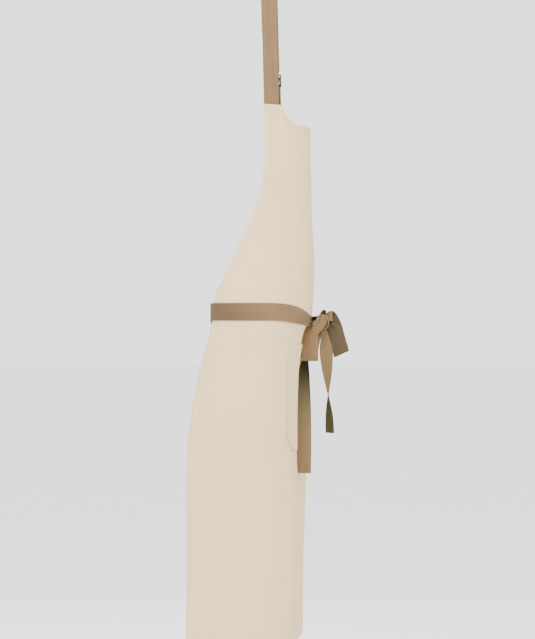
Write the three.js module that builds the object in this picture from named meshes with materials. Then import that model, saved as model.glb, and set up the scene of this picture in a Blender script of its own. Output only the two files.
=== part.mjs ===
// A full-length bib apron hanging by its neck strap on a wall hook, with its waist ties
// brought round from behind and tied in a bow at the front.
// Millimetres, +Z up. The wall is the plane x = 0 and the apron's front faces +X, so the
// wearer's right side, called near, is towards -Y and the left side, called far, towards +Y.
// The hook's arm runs out along X, and z = 0 is the height of its level stretch.
import * as THREE from 'three';

// ---------------------------------------------------------------- driving dimensions
const FIT_GAP = 0.3;              // between pieces that touch
const LAY_GAP = 0.7;              // between the cloth and what lies on it
const CURVE_ROOM = 0.25;          // added where a wide flat piece lies on curved cloth

// Hook
const PLATE = { thick: 4, wide: 34, low: -42, high: 66, corner: 8 };
const SCREW = { shank: 2.1, hole: 2.5, head: 4.4, headThick: 2.6, inset: 14 };
const ARM_RADIUS = 5;
const ARM_ROOT_Z = 12;            // height at which the arm leaves the plate
const SADDLE_X = 133;             // middle of the strap on the arm, out from the wall
const SADDLE_HALF = 24;           // half of the arm's level stretch
const TIP = { reach: 24, rise: 34, ball: 8.5 };

// Cotton tape of the neck strap and the waist ties
const TAPE = { wide: 27, thick: 1.6 };

// Cloth panel
const CLOTH = 2;                  // thickness of the panel, its hems included
const BIB_TOP_Z = -278;           // top of the two bib corners
const HEM_Z = -1139;
const NECK_DROP = 30;             // depth of the scooped neckline
const NECK_SHARE = 0.79;          // share of the bib's half width that the scoop takes
const NECK_SQUARE = 7;            // how square the scoop's corners are, 2 being round
// Where the cloth lies at each height: the back edge and the front as distances from the
// wall, the half breadth, the angle that it wraps through from the front to its edge, how
// square its plan is, how far its front turns to the near side, and how deep a soft pleat
// it has before the knot.
const DRAPE = [
  { z: -278, back: 131.5, front: 203.5, breadth: 121, wrap: 60, square: 0, turn: 0, pleat: 0 },
  { z: -352, back: 134, front: 203.5, breadth: 126, wrap: 61, square: 0, turn: 0, pleat: 0 },
  { z: -397, back: 129.5, front: 204.8, breadth: 136, wrap: 63, square: 0, turn: 0, pleat: 0 },
  { z: -437, back: 121.9, front: 205.4, breadth: 148, wrap: 67, square: 0, turn: 0, pleat: 0 },
  { z: -476, back: 108, front: 206.9, breadth: 165, wrap: 74, square: 0.05, turn: 0, pleat: 0 },
  { z: -515, back: 91.4, front: 209.6, breadth: 181, wrap: 84, square: 0.1, turn: 0, pleat: 0 },
  { z: -552, back: 74.7, front: 209.6, breadth: 194, wrap: 96, square: 0.15, turn: 0, pleat: 0 },
  { z: -590, back: 57.5, front: 208, breadth: 204, wrap: 107, square: 0.2, turn: 0, pleat: 0 },
  { z: -612, back: 55, front: 206, breadth: 206, wrap: 110, square: 0.24, turn: 0, pleat: 0 },
  { z: -628, back: 53, front: 203, breadth: 206, wrap: 110, square: 0.28, turn: 0, pleat: 2 },
  { z: -647, back: 49, front: 198, breadth: 207, wrap: 110, square: 0.32, turn: 0.02, pleat: 12 },
  { z: -684, back: 39.5, front: 193, breadth: 207, wrap: 109, square: 0.4, turn: 0.05, pleat: 15 },
  { z: -722, back: 30, front: 190.5, breadth: 207, wrap: 108, square: 0.45, turn: 0.06, pleat: 15 },
  { z: -797, back: 17.7, front: 190.5, breadth: 207, wrap: 106, square: 0.45, turn: 0.08, pleat: 15 },
  { z: -853, back: 14.5, front: 191.5, breadth: 207, wrap: 105, square: 0.45, turn: 0.08, pleat: 15 },
  { z: -949, back: 14.5, front: 192, breadth: 208, wrap: 104, square: 0.4, turn: 0.03, pleat: 8 },
  { z: -1043, back: 14, front: 191, breadth: 209, wrap: 103, square: 0.34, turn: -0.01, pleat: 1 },
  { z: -1139, back: 12.5, front: 190, breadth: 210, wrap: 103, square: 0.32, turn: 0, pleat: 0 },
];
const PLEAT = { y: -26, wide: 34, room: 0.6 };   // room: added for what bridges the pleat
const PANEL_COLUMNS = 40;
const PANEL_ROWS = 36;

// Pocket on the skirt's front, sewn at its sides and foot and open at the top
const POCKET = { halfWide: 150, top: -664, foot: -835, bevel: 25, thick: 1.6, gape: 13.6,
  settle: 0.26 };                 // share of its height over which the mouth closes

// Facings sewn inside the curved edges
const FACING = { wide: 12, thick: 0.8 };

// Neck strap: its near end is sewn inside the near bib corner, and its far end runs through
// a slide on a short tab sewn inside the far corner
const STRAP_SEWN = 28;            // length of strap under each bib corner
const BEND_HALF = 48;             // degrees of the loop that rest on the arm, each way
const BEND_SLOT = 14;             // degrees left for the swing beyond each end of the bend
const SLIDE = { up: 62, bar: 1.1, pitch: 9, clear: 1.4 };
const FREE_END = 74;

// Waist ties and their bow
const TIE_Z = -612;
const TIE_CROSS = 17;             // how far the ties part in height where they change places
const TIE_ROOM = 0.4;             // more room for the ties, which the cloth curves away from
const TIE_BOW = { near: 4, far: -9 };   // how far each stands off a straight line at the back
const KNOT = { x: 224.5, y: -3, z: -628, rx: 8.5, ry: 11, rz: 10.5 };
const TIE_PINCHED = 16;           // width that each tie is pinched to at the knot
const TIE_END_Z = KNOT.z - KNOT.rz + 3.5 + TIE_PINCHED / 2;
// Each loop, measured from the knot's middle: where it leaves the knot and the width it is
// gathered to there, where it hangs, how far it flares outwards, its top, its length, its
// reach sideways, the slope of its foot, how far its root stands off the knot, and how far
// it has spread to its full width and place at each point of LOOP_ROUTE.
const LOOP_NEAR = {
  root: -2.5, gather: 15, out: TAPE.wide / 2 - 33, flare: 0, top: 9.5, drop: 73, reach: 26, tilt: 0,
  stand: 1.2, spread: [0, 0, 0, 0.1, 0.5, 0.95, 1, 1, 1, 1, 1, 0.6, 0],
};
const LOOP_FAR = {
  root: 4.5, gather: 16, out: 12.5, flare: 19, top: 15.5, drop: 69, reach: 24, tilt: 0.46, stand: 1.5,
  spread: [0, 0.3, 0.65, 0.85, 1, 1, 1, 1, 1, 1, 1, 0.7, 0.05],
};
const TAIL_TOP = KNOT.z - KNOT.rz - FIT_GAP;
const TAIL_LONG = 238;            // height from the knot down to the tail's end
const TAIL_SHORT = 173;
const TAIL_GATHERED = 13.5;       // width that each tail is gathered to at the knot

const rad = THREE.MathUtils.degToRad;
const vec = (x, y, z) => new THREE.Vector3(x, y, z);

// ---------------------------------------------------------------- solids from grids
// A closed solid from rings of points: each ring is one cross-section, and neighbouring
// rings are joined all round. Rings run anticlockwise seen along the way they advance.
function solidFromRings(rings) {
  const size = rings[0].length;
  const positions = rings.flat().flatMap((p) => [p.x, p.y, p.z]);
  const indices = [];
  for (let r = 0; r + 1 < rings.length; r += 1) {
    for (let k = 0; k < size; k += 1) {
      const a = r * size + k;
      const b = r * size + ((k + 1) % size);
      indices.push(a, b, b + size, a, b + size, a + size);
    }
  }
  const last = (rings.length - 1) * size;
  for (let k = 1; k + 1 < size; k += 1) {
    indices.push(0, k + 1, k);
    indices.push(last, last + k, last + k + 1);
  }
  return geometryOf(positions, indices);
}

// A closed solid between an outer and an inner face over a grid of columns and rows.
// place(across, down, side) gives a point, with side +1 on the outer face and -1 inside.
function solidFromSheet(columns, rows, place) {
  const wide = columns + 1;
  const count = wide * (rows + 1);
  const positions = [];
  for (const side of [1, -1]) {
    for (let j = 0; j <= rows; j += 1) {
      for (let i = 0; i <= columns; i += 1) {
        positions.push(...place(i / columns, j / rows, side).toArray());
      }
    }
  }
  const indices = [];
  const quad = (a, b, c, d) => indices.push(a, b, c, a, c, d);
  for (let j = 0; j < rows; j += 1) {
    for (let i = 0; i < columns; i += 1) {
      const a = j * wide + i;
      quad(a, a + wide, a + wide + 1, a + 1);
      quad(count + a, count + a + 1, count + a + wide + 1, count + a + wide);
    }
  }
  for (let i = 0; i < columns; i += 1) {
    const foot = rows * wide + i;
    quad(i, i + 1, count + i + 1, count + i);
    quad(foot, count + foot, count + foot + 1, foot + 1);
  }
  for (let j = 0; j < rows; j += 1) {
    const left = j * wide;
    const right = left + columns;
    quad(left, count + left, count + left + wide, left + wide);
    quad(right, right + wide, count + right + wide, count + right);
  }
  return geometryOf(positions, indices);
}

function geometryOf(positions, indices) {
  const geometry = new THREE.BufferGeometry();
  geometry.setAttribute('position', new THREE.Float32BufferAttribute(positions, 3));
  geometry.setIndex(indices);
  if (signedVolume(positions, indices) < 0) {
    geometry.setIndex(indices.slice().reverse());
  }
  geometry.computeVertexNormals();
  return geometry;
}

function signedVolume(positions, indices) {
  const corner = (k) => vec(...positions.slice(3 * indices[k], 3 * indices[k] + 3));
  let volume = 0;
  for (let k = 0; k < indices.length; k += 3) {
    volume += corner(k).dot(corner(k + 1).cross(corner(k + 2))) / 6;
  }
  return volume;
}

// A length of flat tape through stations, each with its middle, its direction across the
// tape and, where the tape is gathered, the share of its width that it keeps.
function tape(stations) {
  const rings = stations.map((station, k) => {
    const before = stations[Math.max(k - 1, 0)].at;
    const after = stations[Math.min(k + 1, stations.length - 1)].at;
    const along = after.clone().sub(before).normalize();
    const face = along.clone().cross(station.across).normalize().multiplyScalar(TAPE.thick / 2);
    const across = face.clone().cross(along).setLength((TAPE.wide / 2) * (station.keep ?? 1));
    return [[1, 1], [-1, 1], [-1, -1], [1, -1]].map(([a, f]) => station.at.clone()
      .addScaledVector(across, a).addScaledVector(face, f));
  });
  return solidFromRings(rings);
}

// ---------------------------------------------------------------- the hanging cloth
// One column of DRAPE at a height, on a smooth curve through its values.
function drapeValue(key, z) {
  const rows = DRAPE;
  let k = rows.findIndex((row) => row.z <= z);
  if (k === -1) k = rows.length - 1;
  k = Math.max(k, 1);
  const slope = (i) => {
    const a = rows[Math.max(i - 1, 0)];
    const b = rows[Math.min(i + 1, rows.length - 1)];
    return (b[key] - a[key]) / (b.z - a.z);
  };
  const from = rows[k - 1];
  const to = rows[k];
  const span = to.z - from.z;
  const t = THREE.MathUtils.clamp((z - from.z) / span, 0, 1);
  const t2 = t * t;
  const t3 = t2 * t;
  return (2 * t3 - 3 * t2 + 1) * from[key] + (t3 - 2 * t2 + t) * span * slope(k - 1)
    + (3 * t2 - 2 * t3) * to[key] + (t3 - t2) * span * slope(k);
}

const inPleat = (y) => Math.exp(-(((y - PLEAT.y) / PLEAT.wide) ** 2));

// A point on the middle of the cloth: u runs from -1 at the near edge, through 0 at the
// front, to 1 at the far edge.
function onCloth(u, z) {
  const [back, front, breadth, wrap, square, turn, pleat] = ['back', 'front', 'breadth',
    'wrap', 'square', 'turn', 'pleat'].map((key) => drapeValue(key, z));
  const edge = rad(wrap);
  const squared = (angle) => Math.cos(angle) * (1 + square * Math.sin(angle) ** 2);
  const angle = u * edge;
  const forward = (squared(angle) - squared(edge)) / (1 - squared(edge));
  const y = breadth * Math.sin(angle);
  const turned = turn * y * Math.max(0, Math.cos(angle));
  return vec(back + (front - back) * forward + turned - pleat * inPleat(y), y, z);
}

function clothFace(u, z) {
  const across = onCloth(u + 0.004, z).sub(onCloth(u - 0.004, z));
  const up = onCloth(u, z + 1).sub(onCloth(u, z - 1));
  return across.cross(up).normalize();
}

// A point beside the cloth, outwards by offset.
function offCloth(u, z, offset) {
  return onCloth(u, z).addScaledVector(clothFace(u, z), offset);
}

// The u that lies a distance along the cloth from a starting u, at one height.
function stepAlong(start, distance, z) {
  const step = 0.005 * Math.sign(distance);
  let u = start;
  let left = Math.abs(distance);
  while (left > 0) {
    const length = onCloth(u + step, z).distanceTo(onCloth(u, z));
    u += step * Math.min(1, left / length);
    left -= length;
  }
  return u;
}

// The panel's top edge: level over the strap at each corner, scooped between them.
function topEdge(u) {
  const share = Math.min(Math.abs(u) / NECK_SHARE, 1);
  return BIB_TOP_Z - NECK_DROP * (1 - share ** NECK_SQUARE);
}

function panelGeometry() {
  return solidFromSheet(PANEL_COLUMNS, PANEL_ROWS, (across, down, side) => {
    const u = 2 * across - 1;
    const z = THREE.MathUtils.lerp(topEdge(u), HEM_Z, down);
    return offCloth(u, z, side * CLOTH / 2);
  });
}

// The pocket lies on the cloth at its sides and foot, and its mouth stands away.
function pocketGeometry() {
  const rest = CLOTH / 2 + LAY_GAP + CURVE_ROOM + POCKET.thick / 2;
  return solidFromSheet(24, 10, (across, down, side) => {
    const z = THREE.MathUtils.lerp(POCKET.top, POCKET.foot, down);
    const cut = Math.max(0, POCKET.foot + POCKET.bevel - z);
    const t = 2 * across - 1;
    const u = stepAlong(0, t * (POCKET.halfWide - cut), z);
    const pressed = 1 - 0.9 * inPleat(onCloth(u, z).y);
    const open = 1 - THREE.MathUtils.smoothstep(down, 0, POCKET.settle);
    const away = POCKET.gape * pressed * (1 - t * t) ** 1.5 * open
      + PLEAT.room * inPleat(onCloth(u, z).y);
    return offCloth(u, z, rest + away + side * POCKET.thick / 2);
  });
}

const FACING_OFFSET = -(CLOTH / 2 + LAY_GAP + CURVE_ROOM + FACING.thick / 2);

function armholeFacingGeometry(side) {
  const start = BIB_TOP_Z - STRAP_SEWN - 4;
  return solidFromSheet(2, 14, (across, down, face) => {
    const z = THREE.MathUtils.lerp(start, TIE_Z + 2 * TAPE.wide, down);
    const u = stepAlong(side, -side * FACING.wide * (1 - across), z);
    const offset = FACING_OFFSET + face * FACING.thick / 2;
    return offCloth(u, z, offset);
  });
}

function necklineFacingGeometry() {
  return solidFromSheet(32, 1, (across, down, face) => {
    const u = (2 * across - 1) * (NECK_SHARE - 0.02);
    const z = topEdge(u) - FACING.wide * down;
    return offCloth(u, z, FACING_OFFSET + face * FACING.thick / 2);
  });
}

// ---------------------------------------------------------------- neck strap
const LOOP_RADIUS = ARM_RADIUS + FIT_GAP + TAPE.thick / 2;
const TAPE_BOW = 0.9;             // how far a flat tape stands off inside the curved bib
const SEWN_OFFSET = -(CLOTH / 2 + LAY_GAP + TAPE_BOW + TAPE.thick / 2);
const LOOP_END = BEND_HALF + BEND_SLOT;
const LAYER = TAPE.thick / 2 + 0.15;   // from the middle of a doubled tape to each layer

const onLoop = (degrees) => vec(SADDLE_X, LOOP_RADIUS * Math.sin(rad(degrees)),
  LOOP_RADIUS * Math.cos(rad(degrees)));

// The middle of a tape sewn inside a bib corner, a distance down from the corner's top.
function underCorner(side, down, offset) {
  const z = BIB_TOP_Z - down;
  const u = stepAlong(side, -side * (TAPE.wide / 2 + 1), z);
  const across = onCloth(u - side * 0.03, z).sub(onCloth(u + side * 0.03, z)).normalize();
  return { at: offCloth(u, z, offset), across };
}

// Offset of a strand where it passes the bib's top: the far one is a doubled tab.
const strandOffset = (side) => SEWN_OFFSET - (side > 0 ? LAYER : 0);

// The angle round the arm at which the strap leaves it towards a point below.
function tangentAngle(foot) {
  const reach = Math.hypot(foot.y, foot.z);
  const lean = Math.asin(Math.abs(foot.y) / reach);
  return THREE.MathUtils.radToDeg(Math.PI - lean - Math.acos(LOOP_RADIUS / reach));
}

// The straight strand from the arm down to a bib corner, share 0 to 1 of the way. It turns
// from lying along the arm to lying along the bib.
function strand(side, share) {
  const foot = underCorner(side, 0, strandOffset(side));
  const top = onLoop(side * tangentAngle(foot.at));
  const across = vec(1, 0, 0).lerp(foot.across, Math.min(1, share * 1.6)).normalize();
  return { at: top.lerp(foot.at, share), across };
}

function bendGeometry() {
  const stations = [];
  for (let k = 0; k <= 10; k += 1) {
    const degrees = THREE.MathUtils.lerp(-BEND_HALF, BEND_HALF, k / 10);
    stations.push({ at: onLoop(degrees), across: vec(1, 0, 0) });
  }
  return tape(stations);
}

function strandTop(side) {
  const leave = tangentAngle(underCorner(side, 0, strandOffset(side)).at);
  const stations = [];
  for (let k = 0; k < 3; k += 1) {
    const degrees = THREE.MathUtils.lerp(LOOP_END, leave, k / 3);
    stations.push({ at: onLoop(side * degrees), across: vec(1, 0, 0) });
  }
  return stations;
}

function nearStrapGeometry() {
  const stations = strandTop(-1);
  for (let k = 0; k <= 12; k += 1) stations.push(strand(-1, k / 12));
  for (const down of [STRAP_SEWN / 2, STRAP_SEWN]) {
    stations.push(underCorner(-1, down, SEWN_OFFSET));
  }
  return tape(stations);
}

// The slide hangs on the far strand. Its frame has its origin at its middle bar, s down
// along the strand, n outwards from the loop, and its bars along the tape's width.
function slideFrame() {
  const top = strand(1, 0).at;
  const foot = strand(1, 1).at;
  const length = foot.distanceTo(top);
  const share = 1 - SLIDE.up / length;
  const here = strand(1, share);
  const down = foot.sub(top).normalize();
  const outward = here.across.clone().cross(down).normalize();
  return { share, length, origin: here.at, down, outward, across: here.across };
}

// Stations of a tape that lies across the slide, from a route of [s, n] pairs.
function throughSlide(frame, route) {
  return route.map(([s, n]) => ({
    at: frame.origin.clone().addScaledVector(frame.down, s).addScaledVector(frame.outward, n),
    across: frame.across,
  }));
}

const BAR_REACH = SLIDE.bar * Math.SQRT2 + 2 * FIT_GAP + TAPE.thick / 2;
const ringRound = (middle, degrees) => [middle + BAR_REACH * Math.cos(rad(degrees)),
  BAR_REACH * Math.sin(rad(degrees))];

// The far strand passes inside the upper bar and comes out over the middle bar.
function farStrapGeometry() {
  const frame = slideFrame();
  const stations = strandTop(1);
  const last = frame.share - (2 * SLIDE.pitch) / frame.length;
  for (let k = 0; k <= 10; k += 1) stations.push(strand(1, (last * k) / 10));
  const { pitch } = SLIDE;
  stations.push(...throughSlide(frame, [[-pitch - 2, -BAR_REACH], [-pitch * 0.8, -BAR_REACH],
    [-pitch * 0.2, BAR_REACH], [0, BAR_REACH]]));
  return tape(stations);
}

// The strap's free end goes in below the middle bar and hangs inside the tab.
function freeEndGeometry() {
  const { pitch } = SLIDE;
  const hang = -2 * BAR_REACH + 0.2;
  const route = [ringRound(0, 75), ringRound(0, 40), ringRound(0, 0), [pitch * 0.34, -2.2],
    [pitch * 0.52, hang + 0.7], [pitch, hang], [pitch * 2, hang], [FREE_END * 0.7, hang - 0.8],
    [FREE_END, hang - 1.5]];
  return tape(throughSlide(slideFrame(), route));
}

// The tab is a tape doubled round the slide's lower bar, both ends sewn inside the corner.
function tabGeometry() {
  const frame = slideFrame();
  const { pitch } = SLIDE;
  const loop = [[SLIDE.up - 8, LAYER], [pitch + 8, LAYER]];
  for (let k = 0; k <= 10; k += 1) {
    loop.push(ringRound(pitch, THREE.MathUtils.lerp(45, 315, k / 10)));
  }
  loop.push([pitch + 8, -LAYER], [SLIDE.up - 8, -LAYER]);
  const sewn = (layer) => [STRAP_SEWN, STRAP_SEWN / 2, 2].map((down) => (
    underCorner(1, down, strandOffset(1) + layer)));
  return tape([...sewn(LAYER), ...throughSlide(frame, loop), ...sewn(-LAYER).reverse()]);
}

// The slide is one flat metal frame with two slots.
function slideGeometry() {
  const frame = slideFrame();
  const { bar, pitch, clear } = SLIDE;
  const inside = TAPE.wide + clear;
  const box = (path, halfWide, low, high) => {
    path.moveTo(-halfWide, low);
    path.lineTo(halfWide, low);
    path.lineTo(halfWide, high);
    path.lineTo(-halfWide, high);
    path.closePath();
    return path;
  };
  const outline = box(new THREE.Shape(), inside / 2 + 2 * bar, -pitch - bar, pitch + bar);
  outline.holes.push(box(new THREE.Path(), inside / 2, -pitch + bar, -bar));
  outline.holes.push(box(new THREE.Path(), inside / 2, bar, pitch - bar));
  const geometry = new THREE.ExtrudeGeometry(outline, { depth: 2 * bar, bevelEnabled: false });
  geometry.translate(0, 0, -bar);
  const place = new THREE.Matrix4().makeBasis(frame.across, frame.down, frame.outward);
  place.setPosition(frame.origin);
  return geometry.applyMatrix4(place);
}

// ---------------------------------------------------------------- waist ties and bow
const TIE_OFFSET = CLOTH / 2 + LAY_GAP + TIE_ROOM + TAPE.thick / 2;

// A station of a tape lying along the cloth at a height.
function layAlong(u, z, offset) {
  const across = onCloth(u, z + TAPE.wide / 2).sub(onCloth(u, z - TAPE.wide / 2)).normalize();
  return { at: offCloth(u, z, offset), across };
}

// Each tie is sewn inside its own edge, crosses behind the open back, goes round the other
// side over the cloth and ends in the knot. side is the side that it is sewn to. The near
// tie rises as it crosses, so the two change places with room between them.
function tieGeometry(side) {
  const other = -side;
  const isNear = side < 0;
  const own = isNear ? TIE_Z : TIE_Z - TIE_CROSS;
  const landing = isNear ? TIE_Z + TIE_CROSS : TIE_Z;
  const bow = isNear ? TIE_BOW.near : TIE_BOW.far;
  const pinched = TIE_PINCHED / TAPE.wide;
  const stations = [0.9, 0.95, 0.995].map((u) => layAlong(side * u, own, -TIE_OFFSET));
  const from = layAlong(side, own, -TIE_OFFSET).at;
  const to = layAlong(other * 1.01, landing, TIE_OFFSET + 1).at;
  for (const t of [0.06, 0.2, 0.35, 0.5, 0.65, 0.8, 0.92, 1]) {
    const at = from.clone().lerp(to, t);
    const level = isNear ? THREE.MathUtils.smoothstep(t, 0, 0.78)
      : THREE.MathUtils.smoothstep(t, 0.22, 1);
    at.x += bow * Math.sin(Math.PI * t);
    at.z = THREE.MathUtils.lerp(own, landing, level);
    stations.push({ at, across: vec(0, 0, 1) });
  }
  for (let k = 0; k <= 18; k += 1) {
    const u = THREE.MathUtils.lerp(0.985, 0.14, k / 18);
    const proud = k === 0 ? 0.6 : 0;
    const settle = landing + (TIE_Z - landing) * THREE.MathUtils.smoothstep(k / 18, 0, 0.7);
    const fall = THREE.MathUtils.smoothstep(1 - u, 0.35, 0.95);
    const station = layAlong(other * u, THREE.MathUtils.lerp(settle, TIE_END_Z, fall),
      TIE_OFFSET + proud);
    station.keep = THREE.MathUtils.lerp(1, pinched, THREE.MathUtils.smoothstep(1 - u, 0.68, 0.88));
    stations.push(station);
  }
  const level = vec(0, 0, 1);
  const back = KNOT.x - KNOT.rx;
  for (const [out, aside] of [[-5, KNOT.ry], [0.6, KNOT.ry - 5]]) {
    const at = vec(back + out, KNOT.y + other * aside, TIE_END_Z);
    stations.push({ at, across: level, keep: pinched });
  }
  return tape(stations);
}

function knotGeometry() {
  const geometry = new THREE.SphereGeometry(1, 14, 10);
  geometry.scale(KNOT.rx, KNOT.ry, KNOT.rz);
  geometry.translate(KNOT.x, KNOT.y, KNOT.z);
  return geometry;
}

// A bow loop droops from the knot: out over the top, down, round its foot and back up.
// Each pair is its reach out from the knot and its depth below the loop's top, both 0 to 1;
// the first starts at the knot's own height.
const LOOP_ROUTE = [[0, null], [0.35, 0], [0.75, 0.08], [0.88, 0.2], [0.97, 0.34], [1, 0.46],
  [1, 0.8], [0.93, 0.96], [0.76, 1], [0.6, 0.95], [0.52, 0.76], [0.42, 0.42], [0.1, 0.3]];

function loopGeometry(side, loop) {
  const start = KNOT.y + side * (KNOT.ry + loop.stand);
  const top = KNOT.z + loop.top;
  const gathered = loop.gather / TAPE.wide;
  const route = LOOP_ROUTE.map(([reach, deep], k) => {
    const depth = deep ?? (loop.top - 1) / loop.drop;
    const spread = loop.spread[k];
    const out = THREE.MathUtils.lerp(loop.root, loop.out, spread) + loop.flare * depth;
    return {
      at: vec(KNOT.x + out, start + side * loop.reach * reach, top - loop.drop * depth),
      across: vec(1, 0, loop.tilt * spread),
      keep: THREE.MathUtils.lerp(gathered, 1, spread),
    };
  });
  return tape(smoothed(route, 30));
}

// The same stations on a smooth curve, at even steps.
function smoothed(stations, count) {
  const curve = new THREE.CatmullRomCurve3(stations.map((station) => station.at), false,
    'centripetal');
  return Array.from({ length: count + 1 }, (_, k) => {
    const place = (k / count) * (stations.length - 1);
    const low = Math.min(Math.floor(place), stations.length - 2);
    const [from, to] = [stations[low], stations[low + 1]];
    const across = from.across.clone().lerp(to.across, place - low).normalize();
    const keep = THREE.MathUtils.lerp(from.keep ?? 1, to.keep ?? 1, place - low);
    return { at: curve.getPoint(k / count), across, keep };
  });
}

// A point below the knot: out and aside from its middle, down from the tails' top.
const below = (out, aside, down) => vec(KNOT.x + out, KNOT.y + aside, TAIL_TOP - down);

// The long tail comes down behind the near loop and hangs in the skirt's pleat.
function longTailGeometry() {
  const route = [
    { at: below(-5.5, -2.5, 0), across: vec(0.6, 0.8, 0), keep: TAIL_GATHERED / TAPE.wide },
    { at: below(-11.5, -7, 13), across: vec(0.65, 0.75, 0), keep: 0.7 },
    { at: below(-21, -12, 36), across: vec(0.75, 0.65, 0) },
    { at: below(-29.5, -19, 86), across: vec(0.95, 0.3, 0) },
    { at: below(-31, -23, 136), across: vec(1, 0, 0) },
    { at: below(-31, -24, 191), across: vec(1, -0.05, 0) },
    { at: below(-29, -24, TAIL_LONG), across: vec(1, 0, 0) },
  ];
  return tape(smoothed(route, 18));
}

// The short tail twists half round on its way down.
function shortTailGeometry() {
  const route = [
    { at: below(2.5, -1, 0), across: vec(0.35, 0.93, 0), keep: TAIL_GATHERED / TAPE.wide },
    { at: below(5.5, -5, 33), across: vec(0.75, 0.65, 0) },
    { at: below(7.5, -6, 67), across: vec(0.6, 0.8, 0) },
    { at: below(9.5, -5, 113), across: vec(-0.05, 1, 0) },
    { at: below(11, -4, 143), across: vec(-0.4, 0.9, 0) },
    { at: below(12, -4, TAIL_SHORT), across: vec(-0.5, 0.85, 0.1) },
  ];
  return tape(smoothed(route, 16));
}

// ---------------------------------------------------------------- hook
function plateShape() {
  const { wide, low, high, corner } = PLATE;
  const half = wide / 2;
  const shape = new THREE.Shape();
  shape.moveTo(-half + corner, low);
  shape.lineTo(half - corner, low);
  shape.absarc(half - corner, low + corner, corner, -Math.PI / 2, 0, false);
  shape.lineTo(half, high - corner);
  shape.absarc(half - corner, high - corner, corner, 0, Math.PI / 2, false);
  shape.lineTo(-half + corner, high);
  shape.absarc(-half + corner, high - corner, corner, Math.PI / 2, Math.PI, false);
  shape.lineTo(-half, low + corner);
  shape.absarc(-half + corner, low + corner, corner, Math.PI, 1.5 * Math.PI, false);
  return shape;
}

const screwHeights = [PLATE.high - SCREW.inset, PLATE.low + SCREW.inset];

function plateGeometry() {
  const shape = plateShape();
  for (const z of screwHeights) {
    shape.holes.push(new THREE.Path().absarc(0, z, SCREW.hole, 0, 2 * Math.PI, true));
  }
  const geometry = new THREE.ExtrudeGeometry(shape, {
    depth: PLATE.thick, bevelEnabled: false, curveSegments: 8,
  });
  // the outline was drawn across (x) and up (y); stand it against the wall
  geometry.applyMatrix4(new THREE.Matrix4().makeBasis(vec(0, 1, 0), vec(0, 0, 1), vec(1, 0, 0)));
  return geometry;
}

// A pan-head screw, its shank ending at the wall face
function screwGeometry(z) {
  const face = PLATE.thick + FIT_GAP;
  const profile = [[0, FIT_GAP], [SCREW.shank, FIT_GAP], [SCREW.shank, face], [SCREW.head, face],
    [SCREW.head, face + SCREW.headThick * 0.5], [SCREW.head * 0.72, face + SCREW.headThick * 0.9],
    [0, face + SCREW.headThick]].map(([r, h]) => new THREE.Vector2(r, h));
  const geometry = new THREE.LatheGeometry(profile, 20);
  geometry.rotateZ(-Math.PI / 2);
  geometry.translate(0, 0, z);
  return geometry;
}

function armCurve() {
  const level = SADDLE_X + SADDLE_HALF;
  const bend = new THREE.CatmullRomCurve3([
    vec(PLATE.thick + FIT_GAP, 0, ARM_ROOT_Z), vec(24, 0, ARM_ROOT_Z), vec(62, 0, ARM_ROOT_Z * 0.62),
    vec(92, 0, 1.2), vec(SADDLE_X - SADDLE_HALF, 0, 0), vec(SADDLE_X, 0, 0), vec(level, 0, 0),
    vec(level + TIP.reach * 0.62, 0, 4), vec(level + TIP.reach * 0.95, 0, TIP.rise * 0.45),
    vec(level + TIP.reach, 0, TIP.rise),
  ], false, 'centripetal');
  return bend;
}

function armGeometry() {
  const section = new THREE.Shape().absarc(0, 0, ARM_RADIUS, 0, 2 * Math.PI, false);
  return new THREE.ExtrudeGeometry(section, {
    steps: 44, extrudePath: armCurve(), curveSegments: 12, bevelEnabled: false,
  });
}

function tipGeometry() {
  const geometry = new THREE.SphereGeometry(TIP.ball, 18, 12);
  geometry.translate(SADDLE_X + SADDLE_HALF + TIP.reach, 0, TIP.rise + FIT_GAP + TIP.ball);
  return geometry;
}

// ---------------------------------------------------------------- materials
const finish = (color, roughness, metalness) => new THREE.MeshStandardMaterial({
  color, roughness, metalness,
});
const blackIron = () => finish(0x23231f, 0.5, 0.6);
const steel = () => finish(0xb9bab8, 0.3, 1);
const canvas = () => finish(0xdfd5c8, 0.95, 0);
const facingTape = () => finish(0xd6cbb9, 0.95, 0);
const cottonTape = () => finish(0xa98d6e, 0.9, 0);

// ---------------------------------------------------------------- assembly
const group = new THREE.Group();

function add(name, geometry, material) {
  const mesh = new THREE.Mesh(geometry, material);
  mesh.name = name;
  group.add(mesh);
}

add('wall_plate', plateGeometry(), blackIron());
add('hook_arm', armGeometry(), blackIron());
add('hook_tip', tipGeometry(), blackIron());
['screw_upper', 'screw_lower'].forEach((name, k) => {
  add(name, screwGeometry(screwHeights[k]), steel());
});

add('apron_panel', panelGeometry(), canvas());
add('pocket', pocketGeometry(), canvas());
add('neckline_facing', necklineFacingGeometry(), facingTape());
add('armhole_facing_near', armholeFacingGeometry(-1), facingTape());
add('armhole_facing_far', armholeFacingGeometry(1), facingTape());

add('neck_strap_bend', bendGeometry(), cottonTape());
add('neck_strap_near', nearStrapGeometry(), cottonTape());
add('neck_strap_far', farStrapGeometry(), cottonTape());
add('neck_strap_end', freeEndGeometry(), cottonTape());
add('strap_tab', tabGeometry(), cottonTape());
add('strap_slide', slideGeometry(), steel());

add('waist_tie_near', tieGeometry(-1), cottonTape());
add('waist_tie_far', tieGeometry(1), cottonTape());
add('bow_knot', knotGeometry(), cottonTape());
add('bow_loop_near', loopGeometry(-1, LOOP_NEAR), cottonTape());
add('bow_loop_far', loopGeometry(1, LOOP_FAR), cottonTape());
add('tail_long', longTailGeometry(), cottonTape());
add('tail_short', shortTailGeometry(), cottonTape());

export default group;
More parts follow.
